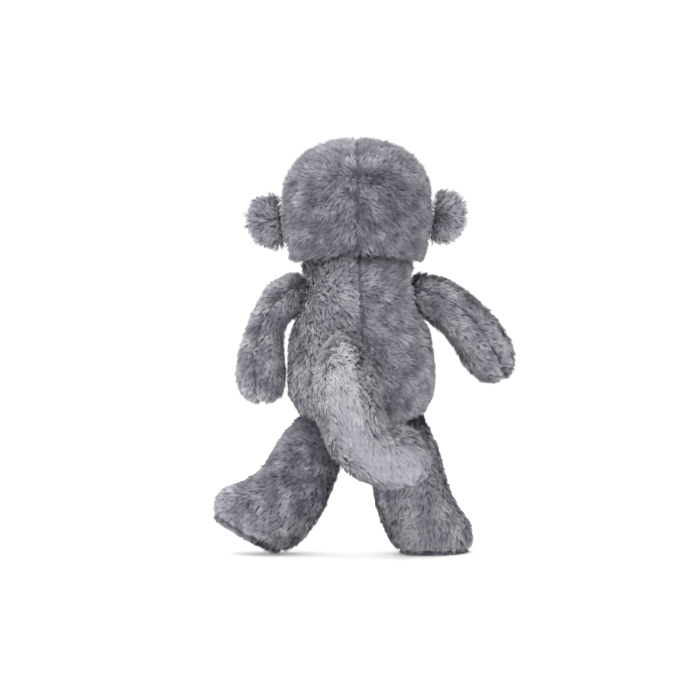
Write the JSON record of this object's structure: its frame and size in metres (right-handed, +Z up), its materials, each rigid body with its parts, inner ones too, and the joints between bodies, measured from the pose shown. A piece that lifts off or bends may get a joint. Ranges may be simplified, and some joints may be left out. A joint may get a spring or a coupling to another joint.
{
  "type": "plush monkey",
  "caption": "Upright plush monkey in mottled grey fur, with a round head, side ears, paddle arms, booted legs and a thick curled tail.",
  "frame": {"origin": "on the floor, under the middle of the toy's outline box", "axes": "+Z up; the face looks towards -Y and the toy's own left is +X"},
  "size_m": [0.244, 0.173, 0.335],
  "materials": {
    "grey_fur": "long pile, frosted",
    "pale_fur": "long pile, frosted",
    "short_pile": "short pile",
    "polyester_fibre": "loose fibre",
    "bean_bag_cloth": "woven",
    "grey_thread": "twisted",
    "lock_washer": "matte",
    "black_eye": "gloss",
    "black_nose": "satin"
  },
  "bodies": {
    "torso": {"torso_back_left": "grey_fur", "torso_back_right": "grey_fur", "belly": "pale_fur", "torso_stuffing": "polyester_fibre", "seat_bean_bag": "bean_bag_cloth", "torso_back_thread": "grey_thread"},
    "neck": {"neck_seam": "grey_thread"},
    "head": {"head_back_left": "grey_fur", "head_back_right": "grey_fur", "forehead": "grey_fur", "face": "short_pile", "muzzle": "short_pile", "nose": "black_nose", "mouth_stitch": "grey_thread", "left_eye": "black_eye", "right_eye": "black_eye", "left_eye_washer": "lock_washer", "right_eye_washer": "lock_washer", "head_stuffing": "polyester_fibre", "muzzle_stuffing": "polyester_fibre", "head_back_thread": "grey_thread"},
    "left_ear": {"left_ear_back": "grey_fur", "left_ear_lining": "short_pile"},
    "right_ear": {"right_ear_back": "grey_fur", "right_ear_lining": "short_pile"},
    "left_shoulder": {"left_shoulder_seam": "grey_thread"},
    "left_arm": {"left_arm_outer": "grey_fur", "left_arm_inner": "grey_fur", "left_arm_stuffing": "polyester_fibre"},
    "right_shoulder": {"right_shoulder_seam": "grey_thread"},
    "right_arm": {"right_arm_outer": "grey_fur", "right_arm_inner": "grey_fur", "right_arm_stuffing": "polyester_fibre"},
    "left_hip": {"left_hip_seam": "grey_thread"},
    "left_leg": {"left_leg_front": "grey_fur", "left_leg_back": "grey_fur", "left_leg_stuffing": "polyester_fibre", "left_sole": "short_pile"},
    "right_hip": {"right_hip_seam": "grey_thread"},
    "right_leg": {"right_leg_front": "grey_fur", "right_leg_back": "grey_fur", "right_leg_stuffing": "polyester_fibre", "right_sole": "short_pile"},
    "tail_root": {"tail_seam": "grey_thread"},
    "tail": {"tail_outer": "pale_fur", "tail_inner": "grey_fur", "tail_stuffing": "polyester_fibre"}
  },
  "joints": [
    {"name": "neck_turn", "type": "hinge", "parent": "torso", "child": "neck", "pos_m": [0.0055, -0.0145, 0.218], "axis": [0, 0, 1], "range_deg": [-40, 40], "stiffness_Nm_per_rad": 0.9},
    {"name": "neck_nod", "type": "hinge", "parent": "neck", "child": "head", "pos_m": [0.0055, -0.0145, 0.218], "axis": [1, 0, 0], "range_deg": [-15, 15], "stiffness_Nm_per_rad": 0.9},
    {"name": "left_ear_fold", "type": "hinge", "parent": "head", "child": "left_ear", "pos_m": [0.066, -0.0145, 0.269], "axis": [-0.1736, 0, 0.9848], "range_deg": [-15, 15], "stiffness_Nm_per_rad": 0.02},
    {"name": "right_ear_fold", "type": "hinge", "parent": "head", "child": "right_ear", "pos_m": [-0.055, -0.0145, 0.2725], "axis": [0.1736, 0, 0.9848], "range_deg": [-15, 15], "stiffness_Nm_per_rad": 0.02},
    {"name": "left_shoulder_swing", "type": "hinge", "parent": "torso", "child": "left_shoulder", "pos_m": [0.0585, -0.0165, 0.209], "axis": [1, 0, 0], "range_deg": [-90, 30], "stiffness_Nm_per_rad": 0.15},
    {"name": "left_arm_lift", "type": "hinge", "parent": "left_shoulder", "child": "left_arm", "pos_m": [0.0585, -0.0165, 0.209], "axis": [0, -1, 0], "range_deg": [0, 55], "stiffness_Nm_per_rad": 0.15},
    {"name": "right_shoulder_swing", "type": "hinge", "parent": "torso", "child": "right_shoulder", "pos_m": [-0.0475, -0.0165, 0.209], "axis": [1, 0, 0], "range_deg": [-90, 30], "stiffness_Nm_per_rad": 0.15},
    {"name": "right_arm_lift", "type": "hinge", "parent": "right_shoulder", "child": "right_arm", "pos_m": [-0.0475, -0.0165, 0.209], "axis": [0, 1, 0], "range_deg": [-2, 30], "stiffness_Nm_per_rad": 0.15},
    {"name": "left_hip_swing", "type": "hinge", "parent": "torso", "child": "left_hip", "pos_m": [0.0355, -0.0175, 0.09492], "axis": [1, 0, 0], "range_deg": [-60, 15], "stiffness_Nm_per_rad": 0.4},
    {"name": "left_leg_splay", "type": "hinge", "parent": "left_hip", "child": "left_leg", "pos_m": [0.0355, -0.0175, 0.09492], "axis": [0, -1, 0], "range_deg": [-12, 20], "stiffness_Nm_per_rad": 0.4},
    {"name": "right_hip_swing", "type": "hinge", "parent": "torso", "child": "right_hip", "pos_m": [-0.0305, -0.0175, 0.098], "axis": [1, 0, 0], "range_deg": [-60, 15], "stiffness_Nm_per_rad": 0.4},
    {"name": "right_leg_splay", "type": "hinge", "parent": "right_hip", "child": "right_leg", "pos_m": [-0.0305, -0.0175, 0.098], "axis": [0, 1, 0], "range_deg": [-5, 25], "stiffness_Nm_per_rad": 0.4},
    {"name": "tail_lift", "type": "hinge", "parent": "torso", "child": "tail_root", "pos_m": [0.0165, 0.0385, 0.166], "axis": [1, 0, 0], "range_deg": [0, 30], "stiffness_Nm_per_rad": 1.25},
    {"name": "tail_sway", "type": "hinge", "parent": "tail_root", "child": "tail", "pos_m": [0.0165, 0.0385, 0.166], "axis": [0, -1, 0], "range_deg": [-20, 20], "stiffness_Nm_per_rad": 1.25}
  ]
}
